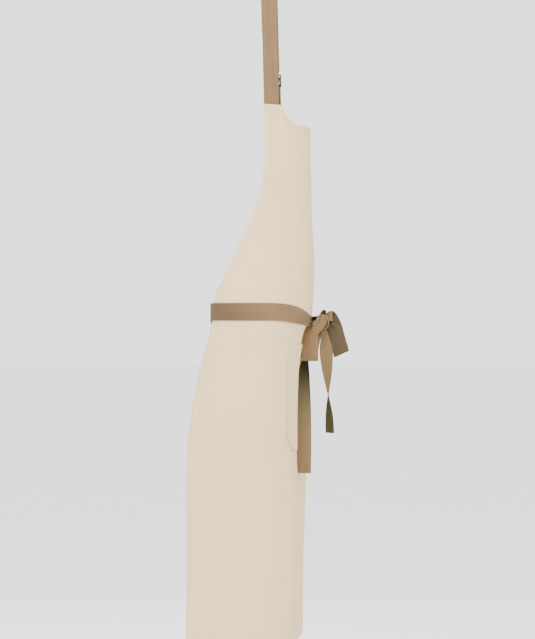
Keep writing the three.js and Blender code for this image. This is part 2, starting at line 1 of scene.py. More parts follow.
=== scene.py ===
# A full-length bib apron in undyed canvas. It hangs by its twill neck strap on a long-armed
# wall hook, with its waist ties brought round from behind and tied in a bow at the front.
# The wall is the plane x = 0, the apron's front faces +X, and its near side is towards -Y.
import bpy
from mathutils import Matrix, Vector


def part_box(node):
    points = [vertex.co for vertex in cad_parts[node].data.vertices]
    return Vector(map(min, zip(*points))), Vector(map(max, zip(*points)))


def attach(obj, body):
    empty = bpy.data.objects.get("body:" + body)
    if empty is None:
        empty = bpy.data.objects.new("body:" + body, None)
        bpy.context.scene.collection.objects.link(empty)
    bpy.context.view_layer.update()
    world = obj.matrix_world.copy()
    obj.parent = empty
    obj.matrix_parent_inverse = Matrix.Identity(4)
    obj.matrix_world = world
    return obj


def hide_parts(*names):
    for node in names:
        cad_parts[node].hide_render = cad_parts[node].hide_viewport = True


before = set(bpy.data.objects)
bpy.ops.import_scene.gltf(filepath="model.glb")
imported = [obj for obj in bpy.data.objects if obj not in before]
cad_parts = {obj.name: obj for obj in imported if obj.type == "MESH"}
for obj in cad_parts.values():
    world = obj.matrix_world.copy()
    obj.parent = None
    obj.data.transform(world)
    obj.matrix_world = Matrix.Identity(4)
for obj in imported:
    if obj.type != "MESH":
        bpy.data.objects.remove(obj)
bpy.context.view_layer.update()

import math
from functools import lru_cache

import bmesh
import bpy
from mathutils import Matrix, Vector

# ---------------------------------------------------------------- camera, floor and light
# The apron is seen from its near side, level with the waist and turned a little to its
# front. A plain pale floor lies below it, lit by large soft lights and a white surround.
MM = 0.001
turn = math.radians(1.8)
camera = bpy.data.objects.new("camera", bpy.data.cameras.new("camera"))
bpy.context.scene.collection.objects.link(camera)
bpy.context.scene.camera = camera
camera.data.sensor_width = 36
camera.data.lens = 108.6
camera.location = Vector((0.133, 0, -0.624)) + 3.2 * Vector((math.sin(turn), -math.cos(turn), 0))
camera.rotation_euler = (math.radians(90), 0, turn)


def add_light(name, place, towards, size, power):
    data = bpy.data.lights.new(name, "AREA")
    data.size = size
    data.energy = power
    light = bpy.data.objects.new(name, data)
    light.location = place
    light.rotation_euler = (Vector(towards) - Vector(place)).to_track_quat("-Z", "Y").to_euler()
    bpy.context.scene.collection.objects.link(light)


add_light("key", (0.3, -2.6, 1.3), (0.12, 0, -0.65), 1.2, 150)
add_light("front", (2.6, -0.6, 0.4), (0.12, 0, -0.65), 1.6, 6)
add_light("behind", (-0.8, 2.8, 0.6), (0.1, 0, -0.6), 2.0, 40)
world = bpy.data.worlds.new("surround")
world.use_nodes = True
world.node_tree.nodes["Background"].inputs["Color"].default_value = (1, 1, 1, 1)
world.node_tree.nodes["Background"].inputs["Strength"].default_value = 2.2
bpy.context.scene.world = world


def finish_mesh(name, shape):
    """A mesh object from a bmesh, its place in its mesh and its faces smooth."""
    mesh = bpy.data.meshes.new(name)
    for face in shape.faces:
        face.smooth = True
    shape.to_mesh(mesh)
    shape.free()
    piece = bpy.data.objects.new(name, mesh)
    bpy.context.scene.collection.objects.link(piece)
    return piece


class Wire:
    """A socket of a material, so that shader maths reads as plain sums."""

    def __init__(self, tree, socket=None):
        self.tree = tree
        self.socket = socket

    def node(self, kind, settings=None, values=None, out=0):
        made = self.tree.nodes.new(kind)
        for key, value in (settings or {}).items():
            if key == "stops":
                ramp = made.color_ramp
                while len(ramp.elements) < len(value):
                    ramp.elements.new(0.5)
                for element, (place, colour) in zip(ramp.elements, value):
                    element.position = place
                    element.color = (*colour, 1)
            else:
                setattr(made, key, value)
        for key, value in (values or {}).items():
            if isinstance(value, Wire):
                self.tree.links.new(value.socket, made.inputs[key])
            else:
                made.inputs[key].default_value = value
        return Wire(self.tree, made.outputs[out])

    def math(self, operation, *values):
        return self.node("ShaderNodeMath", {"operation": operation}, dict(enumerate(values)))

    def __add__(self, other):
        return self.math("ADD", self, other)

    def __mul__(self, other):
        return self.math("MULTIPLY", self, other)

    def __truediv__(self, other):
        return self.math("DIVIDE", self, other)

    __radd__ = __add__
    __rmul__ = __mul__

    def mix(self, first, second):
        """From the first colour to the second as this value goes from 0 to 1."""
        made = self.tree.nodes.new("ShaderNodeMix")
        made.data_type = "RGBA"
        self.tree.links.new(self.socket, made.inputs[0])
        for place, colour in ((6, first), (7, second)):
            if isinstance(colour, Wire):
                self.tree.links.new(colour.socket, made.inputs[place])
            else:
                made.inputs[place].default_value = (*colour, 1)
        return Wire(self.tree, made.outputs[2])

    def noise(self, vector, scale, detail=2.0):
        return self.node("ShaderNodeTexNoise", {"noise_dimensions": "3D"},
                         {"Vector": vector, "Scale": scale, "Detail": detail})

    def stretched(self, vector, x, y, z=1.0):
        return self.node("ShaderNodeVectorMath", {"operation": "MULTIPLY"},
                         {0: vector, 1: (x, y, z)})

    def ranged(self, low, high, start=0.0, end=1.0):
        """From low to high as this value goes from start to end."""
        return self.node("ShaderNodeMapRange", {}, {"Value": self, 1: start, 2: end, 3: low, 4: high})

    def bump(self, strength, distance):
        return self.node("ShaderNodeBump", {},
                         {"Height": self, "Strength": strength, "Distance": distance})


def new_material(name, roughness, metallic=0.0):
    material = bpy.data.materials.new(name)
    material.use_nodes = True
    shader = material.node_tree.nodes["Principled BSDF"]
    shader.inputs["Roughness"].default_value = roughness
    shader.inputs["Metallic"].default_value = metallic
    return material, Wire(material.node_tree), shader


def lead(shader, **wires):
    """Connects wires to the shader's sockets, named with underscores for spaces."""
    for key, wire in wires.items():
        wire.tree.links.new(wire.socket, shader.inputs[key.replace("_", " ")])


def linear(red, green, blue):
    """A colour given as 0 to 255 on a screen, as the shader's own values."""
    return tuple(((c / 255 + 0.055) / 1.055) ** 2.4 for c in (red, green, blue))


floor_shape = bmesh.new()
bmesh.ops.create_grid(floor_shape, x_segments=2, y_segments=2, size=40,
                      matrix=Matrix.Translation((0, 0, -1.6)))
floor = finish_mesh("floor", floor_shape)
pale, _, pale_shader = new_material("pale floor", 0.9)
pale_shader.inputs["Base Color"].default_value = (0.93, 0.93, 0.93, 1)
floor.data.materials.append(pale)

# ---------------------------------------------------------------- apron panel
# One cut piece of heavy plain-woven canvas, bib and skirt together. Its sides and foot are
# turned in and sewn down. It hangs in a round-fronted shell that is open at the back.
CLOTH = 2.0
BIB_TOP = -278.0
HEM = -1139.0
TIE_HEIGHT = -612.0
NECK_DROP = 30.0
NECK_SHARE = 0.79
NECK_SQUARE = 7
# height, back edge, front, half breadth, wrap, squareness, turn, pleat
HANG = [
    (-278, 131.5, 203.5, 121, 60, 0, 0, 0),
    (-352, 134, 203.5, 126, 61, 0, 0, 0),
    (-397, 129.5, 204.8, 136, 63, 0, 0, 0),
    (-437, 121.9, 205.4, 148, 67, 0, 0, 0),
    (-476, 108, 206.9, 165, 74, 0.05, 0, 0),
    (-515, 91.4, 209.6, 181, 84, 0.1, 0, 0),
    (-552, 74.7, 209.6, 194, 96, 0.15, 0, 0),
    (-590, 57.5, 208, 204, 107, 0.2, 0, 0),
    (-612, 55, 206, 206, 110, 0.24, 0, 0),
    (-628, 53, 203, 206, 110, 0.28, 0, 2),
    (-647, 49, 198, 207, 110, 0.32, 0.02, 12),
    (-684, 39.5, 193, 207, 109, 0.4, 0.05, 15),
    (-722, 30, 190.5, 207, 108, 0.45, 0.06, 15),
    (-797, 17.7, 190.5, 207, 106, 0.45, 0.08, 15),
    (-853, 14.5, 191.5, 207, 105, 0.45, 0.08, 15),
    (-949, 14.5, 192, 208, 104, 0.4, 0.03, 8),
    (-1043, 14, 191, 209, 103, 0.34, -0.01, 1),
    (-1139, 12.5, 190, 210, 103, 0.32, 0, 0),
]
PLEAT_Y = -26.0
PLEAT_WIDE = 34.0


def smoothstep(value, low, high):
    t = min(max((value - low) / (high - low), 0), 1)
    return t * t * (3 - 2 * t)


@lru_cache(maxsize=None)
def hang_at(z):
    """The row of HANG at a height, on a smooth curve through the rows."""
    k = next((i for i, row in enumerate(HANG) if row[0] <= z), len(HANG) - 1)
    k = max(k, 1)
    start, end = HANG[k - 1], HANG[k]
    before, after = HANG[max(k - 2, 0)], HANG[min(k + 1, len(HANG) - 1)]
    span = end[0] - start[0]
    t = min(max((z - start[0]) / span, 0), 1)
    row = []
    for c in range(1, 8):
        slope_in = (end[c] - before[c]) / (end[0] - before[0])
        slope_out = (after[c] - start[c]) / (after[0] - start[0])
        row.append((2 * t**3 - 3 * t**2 + 1) * start[c] + (t**3 - 2 * t**2 + t) * span * slope_in
                   + (3 * t**2 - 2 * t**3) * end[c] + (t**3 - t**2) * span * slope_out)
    return row


def in_pleat(y):
    return math.exp(-(((y - PLEAT_Y) / PLEAT_WIDE) ** 2))


def ripple(u, z):
    """The soft waves of cloth that hangs free, deepest at the foot."""
    loose = smoothstep(-z, 700, 1139)
    return loose * (1.1 * math.sin(9.5 * u + 0.8) + 0.8 * math.sin(21 * u - 0.004 * z)
                    + 0.5 * math.sin(34 * u + 1.9))


def on_cloth(u, z):
    """The middle of the cloth: u is -1 at the near edge, 0 at the front, 1 at the far."""
    back, front, breadth, wrap, square, turned, pleat = hang_at(round(z, 3))
    edge = math.radians(wrap)
    angle = u * edge
    squared = math.cos(angle) * (1 + square * math.sin(angle) ** 2)
    squared_edge = math.cos(edge) * (1 + square * math.sin(edge) ** 2)
    forward = (squared - squared_edge) / (1 - squared_edge)
    wave = ripple(u, z)
    y = breadth * math.sin(angle)
    x = back + (front - back) * forward + turned * y * max(0, math.cos(angle)) - pleat * in_pleat(y)
    return Vector((x + wave * math.cos(angle), y + wave * math.sin(angle), z))


def cloth_face(u, z):
    across = on_cloth(u + 0.004, z) - on_cloth(u - 0.004, z)
    up = on_cloth(u, z + 1) - on_cloth(u, z - 1)
    return across.cross(up).normalized()


def off_cloth(u, z, offset):
    return on_cloth(u, z) + cloth_face(u, z) * offset


ARC_PITCH = 50


@lru_cache(maxsize=None)
def arc_table(z):
    """Distances along the cloth from its front, at even steps of u, at one height."""
    last = {1: on_cloth(0, z), -1: on_cloth(0, z)}
    near, far = [0.0], [0.0]
    for k in range(1, ARC_PITCH + 11):
        for side, lengths in ((1, far), (-1, near)):
            here = on_cloth(side * k / ARC_PITCH, z)
            lengths.append(lengths[-1] + (here - last[side]).length)
            last[side] = here
    return near, far


def distance_along(u, z):
    near, far = arc_table(round(z / 4) * 4)
    lengths = far if u >= 0 else near
    place = min(abs(u) * ARC_PITCH, len(lengths) - 1.001)
    low = int(place)
    length = lengths[low] + (lengths[low + 1] - lengths[low]) * (place - low)
    return length if u >= 0 else -length


def step_along(start, distance, z):
    """The u that lies a distance along the cloth from a starting u, at one height."""
    target = distance_along(start, z) + distance
    low, high = -1.2, 1.2
    for _ in range(30):
        middle = (low + high) / 2
        if distance_along(middle, z) < target:
            low = middle
        else:
            high = middle
    return (low + high) / 2


def top_edge(u):
    share = min(abs(u) / NECK_SHARE, 1)
    return BIB_TOP - NECK_DROP * (1 - share**NECK_SQUARE)


def cut_sheet(name, shape, pattern, cut, thick):
    """A sheet's object with its place on the cut cloth as its map, and its thickness."""
    for face in shape.faces:
        for corner in face.loops:
            corner[pattern].uv = cut[corner.vert]
    piece = finish_mesh(name, shape)
    skin = piece.modifiers.new("thickness", "SOLIDIFY")
    skin.thickness = thick * MM
    skin.offset = 0
    return piece


def cloth_grid(name, columns, rows, place, flat, thick, body="apron"):
    """A sheet from a grid: place(across, down) gives a point and flat(across, down) where
    that point was on the cut cloth, both in millimetres, across and down from 0 to 1."""
    shape = bmesh.new()
    bmesh.ops.create_grid(shape, x_segments=columns, y_segments=rows, size=0.5)
    pattern = shape.loops.layers.uv.new("Cloth")
    cut = {}
    for vert in shape.verts:
        across = round((vert.co.x + 0.5) * columns) / columns
        down = round((0.5 - vert.co.y) * rows) / rows
        cut[vert] = Vector(flat(across, down)) * MM
        vert.co = place(across, down) * MM
    piece = cut_sheet(name, shape, pattern, cut, thick)
    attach(piece, body)
    return piece


def canvas_material(name, base, deep, pitch=0.8):
    """Plain-woven canvas: round threads over and under, slubs along both, faint blotches."""
    material, wire, shader = new_material(name, 0.9)
    cut = wire.node("ShaderNodeUVMap", {"uv_map": "Cloth"})
    apart = wire.node("ShaderNodeSeparateXYZ", values={"Vector": cut})
    down = Wire(apart.tree, apart.socket.node.outputs[1])
    turns = math.pi / (pitch * MM)
    warp = wire.math("SINE", apart * turns)
    weft = wire.math("SINE", down * turns)
    weave = warp * weft
    slub_down = wire.noise(wire.stretched(cut, 1500, 38), 1.0, 3.0)
    slub_across = wire.noise(wire.stretched(cut, 38, 1500), 1.0, 3.0)
    blotch = wire.noise(wire.stretched(cut, 26, 9), 1.0, 3.0)
    fleck = wire.noise(wire.stretched(cut, 420, 300), 1.0, 2.0)
    shade = (slub_down * 0.34 + slub_across * 0.3 + blotch * 0.34 + fleck * 0.16 + weave * 0.035)
    lead(shader, Base_Color=shade.ranged(0.0, 1.0, 0.4, 0.75).mix(deep, base))
    lead(shader, Roughness=slub_down.ranged(0.82, 0.98))
    height = weave * 0.5 + slub_down * 0.7 + slub_across * 0.6
    lead(shader, Normal=height.bump(0.35, 0.0003))
    shader.inputs["Specular IOR Level"].default_value = 0.1
    return material


canvas = canvas_material("natural canvas", linear(221, 195, 150), linear(208, 182, 137))
SIDE_TURN = 15.0
ARMHOLE_TURN = 6
FOOT_TURN = 25.0
LAYER = 1.05
OUTER_FACE = 0.5


def side_turn(z):
    """The sides are turned in further below the ties than round the armholes."""
    return ARMHOLE_TURN + (SIDE_TURN - ARMHOLE_TURN) * smoothstep(-z, 560, 600)


# The grid's outermost columns and last rows are the turned-in hems.
TURN_COLUMNS = 4
MAIN_COLUMNS = 120
MAIN_ROWS = 190
TURN_ROWS = 5
panel_columns = MAIN_COLUMNS + 2 * TURN_COLUMNS
panel_rows = MAIN_ROWS + TURN_ROWS


def panel_place(across, down):
    column = across * panel_columns - TURN_COLUMNS
    row = down * panel_rows
    over = -column if column < 0 else max(column - MAIN_COLUMNS, 0)
    side = -1 if column < MAIN_COLUMNS / 2 else 1
    u = min(max(2 * column / MAIN_COLUMNS - 1, -1), 1)
    turned = max(row - MAIN_ROWS, 0)
    z = top_edge(u) + (HEM - top_edge(u)) * min(row / MAIN_ROWS, 1)
    offset = OUTER_FACE
    if over == 1:
        offset = OUTER_FACE - LAYER / 2
        u += side * 0.0018
    elif over > 1:
        offset = OUTER_FACE - LAYER
        u = step_along(side, -side * side_turn(z) * (over - 2 + 0.05) / (TURN_COLUMNS - 2), z)
    if turned:
        near_side = smoothstep(-abs(distance_along(side, z) - distance_along(u, z)), -20, -12)
        z = HEM + FOOT_TURN * max(turned - 1, 0.02) / (TURN_ROWS - 1)
        if turned == 1:
            z = HEM - 0.5
            offset -= LAYER / 2
        else:
            offset -= LAYER * (2 if over > 1 else 1 + 2 * near_side)
            offset = min(offset, OUTER_FACE - LAYER)
        if over > 1:
            offset = OUTER_FACE - 2 * LAYER
    return off_cloth(u, z, offset)


def panel_flat(across, down):
    column = across * panel_columns - TURN_COLUMNS
    u = 2 * column / MAIN_COLUMNS - 1
    inside = max(min(u, 1), -1)
    share = down * panel_rows / MAIN_ROWS
    z = top_edge(inside) * (1 - share) + HEM * share
    return (distance_along(inside, z) + (u - inside) * 300, z)


panel = cloth_grid("canvas_panel", panel_columns, panel_rows, panel_place, panel_flat, 1.0)
panel.data.materials.append(canvas)
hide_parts("apron_panel")


def keep_piece(name, shape, material, slot, body, *nodes):
    """A finished piece with its material, body and the CAD nodes it replaces; slot is not used."""
    piece = finish_mesh(name, shape)
    piece.data.materials.append(material)
    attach(piece, body)
    if nodes:
        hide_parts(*nodes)


RUNNING = (2.6, 0.9, 0.5)
OUTSIDE = 1.05


def stitch_line(name, points, length, gap, thick, material, slot="canvas", body="apron"):
    """A row of sewing stitches, each a small round-ended dash, along points at even steps.
    RUNNING is the length, gap and thickness of an ordinary one."""
    shape = bmesh.new()
    travelled = 0.0
    place = 0.0
    for (start, _), (end, face) in zip(points, points[1:]):
        span = (end - start).length
        while span > 0 and place <= travelled + span:
            along = (end - start).normalized()
            middle = start + along * (place - travelled)
            side = face.cross(along).normalized()
            turned = Matrix((along, side, face)).transposed().to_4x4()
            size = Matrix.Diagonal((length / 2 * MM, thick / 2 * MM, thick / 2 * MM, 1))
            bmesh.ops.create_uvsphere(shape, u_segments=6, v_segments=4, radius=1,
                                      matrix=Matrix.Translation(middle * MM) @ turned @ size)
            place += length + gap
        travelled += span
    keep_piece(name, shape, material, slot, body)


def thread_material(name, colour):
    """Spun sewing thread with a slight lustre."""
    material, wire, shader = new_material(name, 0.7)
    place = wire.node("ShaderNodeTexCoord", out="Object")
    twist = wire.noise(place, 2600, 1.0)
    lead(shader, Base_Color=twist.mix(tuple(0.8 * c for c in colour), colour))
    lead(shader, Normal=twist.bump(0.4, 0.0002))
    return material


natural_thread = thread_material("natural thread", linear(166, 147, 114))
dark_thread = thread_material("dark thread", linear(88, 74, 52))
# A darker thread for the pocket's outer row: painted shadow along the line where the pocket's edge stands
# off the skirt.
edge_shadow_thread = thread_material("edge thread painted shadow", linear(126, 112, 86))


def along_side(side, inset, low, high, offset=OUTSIDE):
    """Points on the outside of the cloth, a distance in from one edge, between two heights."""
    count = int(abs(high - low) / 6)
    points = []
    for k in range(count + 1):
        z = high + (low - high) * k / count
        u = step_along(side, -side * inset, z)
        points.append((off_cloth(u, z, offset), cloth_face(u, z)))
    return points


def along_level(height, first, last, offset=OUTSIDE, count=70):
    points = []
    for k in range(count + 1):
        u = first + (last - first) * k / count
        z = height(u) if callable(height) else height
        points.append((off_cloth(u, z, offset), cloth_face(u, z)))
    return points


for side, word in ((-1, "near"), (1, "far")):
    stitch_line(f"side_stitching_{word}", along_side(side, SIDE_TURN - 3, HEM + 3, TIE_HEIGHT - 14),
                *RUNNING, natural_thread)
    stitch_line(f"armhole_stitching_{word}", along_side(side, 9, TIE_HEIGHT + 20, BIB_TOP - 4),
                *RUNNING, natural_thread)
stitch_line("foot_stitching", along_level(HEM + FOOT_TURN - 3, -0.985, 0.985, count=130),
            *RUNNING, natural_thread)
stitch_line("neckline_stitching", along_level(lambda u: top_edge(u) - 9, -0.74, 0.74),
            *RUNNING, natural_thread)

# ---------------------------------------------------------------- pocket
# A wide patch pocket of the same canvas with clipped lower corners, sewn on at its sides and
# foot with two rows, and its mouth stands open.
POCKET_HALF = 150.0
POCKET_TOP = -664.0
POCKET_FOOT = -835.0
POCKET_CLIP = 25.0
POCKET_DEEP = POCKET_TOP - POCKET_FOOT
POCKET_REST = 1.0 + 0.35
POCKET_GAPE = 13.6
PLEAT_LIFT = 0.9
NEAR_EASE = 8
NEAR_CLOSED = 0.85


def pocket_spot(t, down, offset=0.0):
    """A point of the pocket, t from -1 to 1 across and down from 0 at its mouth to 1. Its near
    half lies closer to the skirt and a little slack is eased out of it."""
    z = POCKET_TOP - POCKET_DEEP * down
    clip = max(0, POCKET_FOOT + POCKET_CLIP - z)
    eased = NEAR_EASE * smoothstep(-t, 0, 1) * (1 - smoothstep(down, 0, 0.7))
    u = step_along(0, t * (POCKET_HALF - clip) - eased, z)
    lie = in_pleat(on_cloth(u, z).y)
    gape = POCKET_GAPE * (1 - PLEAT_LIFT * lie) * (1 - t * t) ** 1.5 * (1 - smoothstep(down, 0, 0.26))
    gape *= 1 - NEAR_CLOSED * smoothstep(-t, 0.05, 0.3)
    return off_cloth(u, z, POCKET_REST + gape + 0.5 + PLEAT_LIFT * lie + offset)


POCKET_ROWS = 40
POCKET_HEM = 4


def pocket_place(across, down):
    row = down * (POCKET_ROWS + POCKET_HEM) - POCKET_HEM
    t = 2 * across - 1
    if row > -1:
        return pocket_spot(t, max(row, 0) / POCKET_ROWS)
    return pocket_spot(t, (-row - 1) * 0.04, -1.0)


def pocket_flat(across, down):
    return 2 * POCKET_HALF * across, -POCKET_DEEP * down


pocket_cloth = cloth_grid("pocket_cloth", 60, POCKET_ROWS + POCKET_HEM, pocket_place, pocket_flat,
                          0.9)
pocket_cloth.data.materials.append(canvas)
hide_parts("pocket")


FOOT_HALF = 128


def pocket_edge(inset):
    """The sewn outline, down one side, across the clipped foot and up the other."""
    lowest = 1 - inset / POCKET_DEEP
    points = []
    for side in (-1, 1):
        ups = [k / 60 for k in range(0, 61)]
        for down in ups if side < 0 else reversed(ups):
            down = min(down, lowest)
            z = POCKET_TOP - POCKET_DEEP * down
            half = POCKET_HALF - max(0, POCKET_FOOT + POCKET_CLIP - z)
            t = side * (half - inset) / half
            face = cloth_face(step_along(0, t * half, z), z)
            points.append((pocket_spot(t, down, 0.5), face))
        if side < 0:
            z = POCKET_FOOT + inset
            for k in range(1, 40):
                t = -0.97 + 1.94 * k / 40
                face = cloth_face(step_along(0, t * FOOT_HALF, z), z)
                points.append((pocket_spot(t, lowest, 0.5), face))
    return [p for k, p in enumerate(points) if k == 0 or (p[0] - points[k - 1][0]).length > 0.4]


# The outer row is sewn in the darker thread, a painted shadow along the pocket's edge.
stitch_line("pocket_stitching_outer", pocket_edge(1.2), 3.2, 0.3, 0.6, edge_shadow_thread)
stitch_line("pocket_stitching_inner", pocket_edge(7.0), *RUNNING, natural_thread)
MOUTH_TURN = 20
z = POCKET_TOP - MOUTH_TURN
mouth_row = []
for k in range(71):
    t = -0.985 + 1.97 * k / 70
    face = cloth_face(step_along(0, t * POCKET_HALF, z), z)
    mouth_row.append((pocket_spot(t, MOUTH_TURN / POCKET_DEEP, 0.5), face))
stitch_line("pocket_mouth_stitching", mouth_row, *RUNNING, natural_thread)

# ---------------------------------------------------------------- facings
# Narrow cotton tapes sewn inside the neckline and the two curved sides, to hold their shape.
facing_cloth = canvas_material("facing cotton", linear(211, 184, 138), linear(193, 166, 121), 0.6)
FACING_OFFSET = -1.0 - 0.5
FACING_WIDE = 12
FACING_IN = 1.5
ARMHOLE_LOW = TIE_HEIGHT + 54
ARMHOLE_HIGH = BIB_TOP - 32


def neckline_place(across, down):
    u = (2 * across - 1) * (NECK_SHARE - 0.02)
    return off_cloth(u, top_edge(u) - FACING_IN - FACING_WIDE * down, FACING_OFFSET)


neckline_tape = cloth_grid("neckline_tape", 60, 4, neckline_place,
                           lambda across, down: (230 * across, FACING_WIDE * down), 0.6)
neckline_tape.data.materials.append(facing_cloth)
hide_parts("neckline_facing")
for side, word in ((-1, "near"), (1, "far")):
    def armhole_place(across, down):
        z = ARMHOLE_HIGH + (ARMHOLE_LOW - ARMHOLE_HIGH) * down
        inset = FACING_IN + FACING_WIDE * across
        return off_cloth(step_along(side, -side * inset, z), z, FACING_OFFSET)

    armhole_tape = cloth_grid(f"armhole_tape_{word}", 4, 60, armhole_place,
                              lambda across, down: (FACING_WIDE * across, 290 * down), 0.6)
    armhole_tape.data.materials.append(facing_cloth)
    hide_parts(f"armhole_facing_{word}")

# ---------------------------------------------------------------- neck strap
# One length of tan herringbone twill tape. It is sewn inside the near bib corner, bends over
# the hook's arm, comes down the far side, threads through a metal slide and hangs free.
TAPE_WIDE = 27.0
TAPE_THICK = 1.5
ARM_RADIUS = 5.0
FIT_GAP = 0.3
SADDLE_X = 133.0
HALF_THICK = 0.8
LOOP_RADIUS = ARM_RADIUS + FIT_GAP + HALF_THICK
BEND_HALF = 48
BEND_SLOT = 14
STRAP_SEWN = 28.0
UP = Vector((0, 0, 1))
OUT = Vector((1, 0, 0))


def twill_material(name, colour, deep, painted_shades=None, rib=4.5, pitch=1.25):
    """Herringbone twill: columns of slanting threads that turn at each rib, worn paler and
    darker in long soft streaks. Optional painted shade, given as (millimetres along, tint) pairs, darkens
    it along the tape."""
    material, wire, shader = new_material(name, 0.85)
    cut = wire.node("ShaderNodeUVMap", {"uv_map": "Cloth"})
    across = wire.node("ShaderNodeSeparateXYZ", values={"Vector": cut})
    along = Wire(across.tree, across.socket.node.outputs[1])
    zigzag = across.math("PINGPONG", across, rib * MM)
    slant = (along + zigzag) * (2 * math.pi / (pitch * MM))
    thread = slant.math("SINE", slant)
    turned = zigzag * (math.pi / (rib * MM))
    ridge = turned.math("SINE", turned)
    fuzz = wire.noise(wire.stretched(cut, 2600, 900), 1.0, 2.0)
    streak = wire.noise(wire.stretched(cut, 160, 14), 1.0, 3.0)
    blotch = wire.noise(wire.stretched(cut, 30, 22), 1.0, 2.0)
    shade = thread * 0.05 + ridge * 0.1 + fuzz * 0.28 + streak * 0.42 + blotch * 0.3
    dyed = shade.ranged(0.0, 1.0, 0.32, 0.82).mix(deep, colour)
    # Painted shade: tints along the tape's length, multiplied into the dyed colour where the tape lies in
    # shade.
    if painted_shades:
        reach = painted_shades[-1][0]
        place = along / (reach * MM)
        shade_tint = wire.node("ShaderNodeValToRGB", {"stops": [(at / reach, c) for at, c in painted_shades]},
                         {"Fac": place})
        dyed = wire.node("ShaderNodeMix", {"data_type": "RGBA", "blend_type": "MULTIPLY"},
                         {0: 1.0, 6: dyed, 7: shade_tint}, out=2)
    lead(shader, Base_Color=dyed)
    lead(shader, Roughness=fuzz.ranged(0.78, 0.95))
    height = thread * 0.5 + ridge * 0.5 + fuzz * 0.4
    lead(shader, Normal=height.bump(0.45, 0.00035))
    shader.inputs["Specular IOR Level"].default_value = 0.08
    return material


TAN = linear(123, 99, 70), linear(99, 79, 55)
twill = twill_material("tan twill", *TAN)


def spline(points, count):
    """Even steps on a smooth curve through a list of equal-length tuples."""
    done = []
    for k in range(count + 1):
        place = k / count * (len(points) - 1)
        i = min(int(place), len(points) - 2)
        t = place - i
        a, b = points[max(i - 1, 0)], points[i]
        c, d = points[i + 1], points[min(i + 2, len(points) - 1)]
        done.append([0.5 * (2 * q + (r - p) * t + (2 * p - 5 * q + 4 * r - s) * t * t
                            + (3 * q - p - 3 * r + s) * t**3) for p, q, r, s in zip(a, b, c, d)])
    return done


def tape_lengths(stations):
    """The middle of each station and its distance along the tape."""
    middles = [s(0) if callable(s) else s[0] for s in stations]
    lengths = [0.0]
    for before, after in zip(middles, middles[1:]):
        lengths.append(lengths[-1] + (after - before).length)
    return middles, lengths


GATHER_DEEP = 4.0
SELVEDGE = 0.35


def tape_piece(name, stations, nodes, body="apron", columns=12, thick=TAPE_THICK, pleats=2.0,
               material=None):
    """A length of flat tape. Each station is (middle, direction across, share of its width
    kept), or a function that gives the tape's point for a place across it from -1 to 1.
    Where it keeps less than its width it gathers into small pleats."""
    rows = len(stations) - 1
    middles, lengths = tape_lengths(stations)
    shape = bmesh.new()
    bmesh.ops.create_grid(shape, x_segments=columns, y_segments=rows, size=0.5)
    pattern = shape.loops.layers.uv.new("Cloth")
    cut = {}
    for vert in shape.verts:
        a = 2 * vert.co.x
        k = min(max(round((vert.co.y + 0.5) * rows), 0), rows)
        cut[vert] = Vector((a * TAPE_WIDE / 2 + 100, lengths[k])) * MM
        station = stations[k]
        if callable(station):
            vert.co = station(a) * MM
            continue
        middle, across, keep = station
        along = (middles[min(k + 1, rows)] - middles[max(k - 1, 0)]).normalized()
        face = along.cross(across).normalized()
        flat = face.cross(along).normalized()
        bend = (1 - keep) * GATHER_DEEP * math.cos(pleats * math.pi * a) * (1 - 0.3 * abs(a))
        vert.co = (middle + flat * (a * TAPE_WIDE / 2 * keep) + face * bend) * MM
    piece = cut_sheet(name, shape, pattern, cut, thick)
    edge = piece.modifiers.new("selvedge", "BEVEL")
    edge.width = SELVEDGE * MM
    edge.segments = 2
    edge.limit_method = "ANGLE"
    edge.angle_limit = math.radians(60)
    piece.data.materials.append(material or twill)
    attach(piece, body)
    if nodes:
        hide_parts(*nodes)
    length = lengths[-1] * MM


def on_loop(degrees):
    angle = math.radians(degrees)
    return Vector((SADDLE_X, LOOP_RADIUS * math.sin(angle), LOOP_RADIUS * math.cos(angle)))


def corner_u(side, z, a):
    """Where on the cloth a strap's tape lies at a bib corner, a from -1 to 1 across it."""
    return step_along(side, -side * (TAPE_WIDE / 2 + 1 - side * a * TAPE_WIDE / 2), z)


def tangent_angle(foot):
    reach = math.hypot(foot.y, foot.z)
    return math.degrees(math.pi - math.asin(abs(foot.y) / reach) - math.acos(LOOP_RADIUS / reach))


STRAND_OFFSET = {-1: -3.4, 1: -4.35}
SEWN_OFFSET = -1.0
OUTER_SEWN_OFFSET = -2.7


def strand(side, share):
    """A station of the tape on its way from the arm, share 0, to a bib corner, share 1."""
    z = BIB_TOP
    u = corner_u(side, z, 0)
    foot = off_cloth(u, z, STRAND_OFFSET[side])
    foot_across = (on_cloth(u - side * 0.03, z) - on_cloth(u + side * 0.03, z)).normalized()
    top = on_loop(side * tangent_angle(foot))
    across = OUT.lerp(foot_across, min(1, share * 1.6)).normalized()
    return top.lerp(foot, share), across, 1.0


bend_rows = [(on_loop(d), OUT, 1.0) for d in range(-BEND_HALF, BEND_HALF + 1, 4)]
tape_piece("strap_over_arm", bend_rows, ["neck_strap_bend"], body="neck_loop")


def strap_top(side):
    leave = tangent_angle(strand(side, 1)[0])
    start = BEND_HALF + BEND_SLOT
    return [(on_loop(side * (start + (leave - start) * k / 6)), OUT, 1.0) for k in range(6)]


def sewn_row(side, down, offset):
    """A row of tape lying flat against the inside of the bib, eased from the free strand."""
    middle, across, _ = strand(side, 1)

    def place(a):
        held = off_cloth(corner_u(side, BIB_TOP - down, a), BIB_TOP - down, offset)
        free = middle + across * (a * TAPE_WIDE / 2) - UP * down
        return free.lerp(held, smoothstep(down, 0, 10))
    return place


near_rows = strap_top(-1) + [strand(-1, k / 60) for k in range(61)]
near_rows += [sewn_row(-1, down, SEWN_OFFSET) for down in range(2, int(STRAP_SEWN) + 1, 2)]
tape_piece("strap_near", near_rows, ["neck_strap_near"])

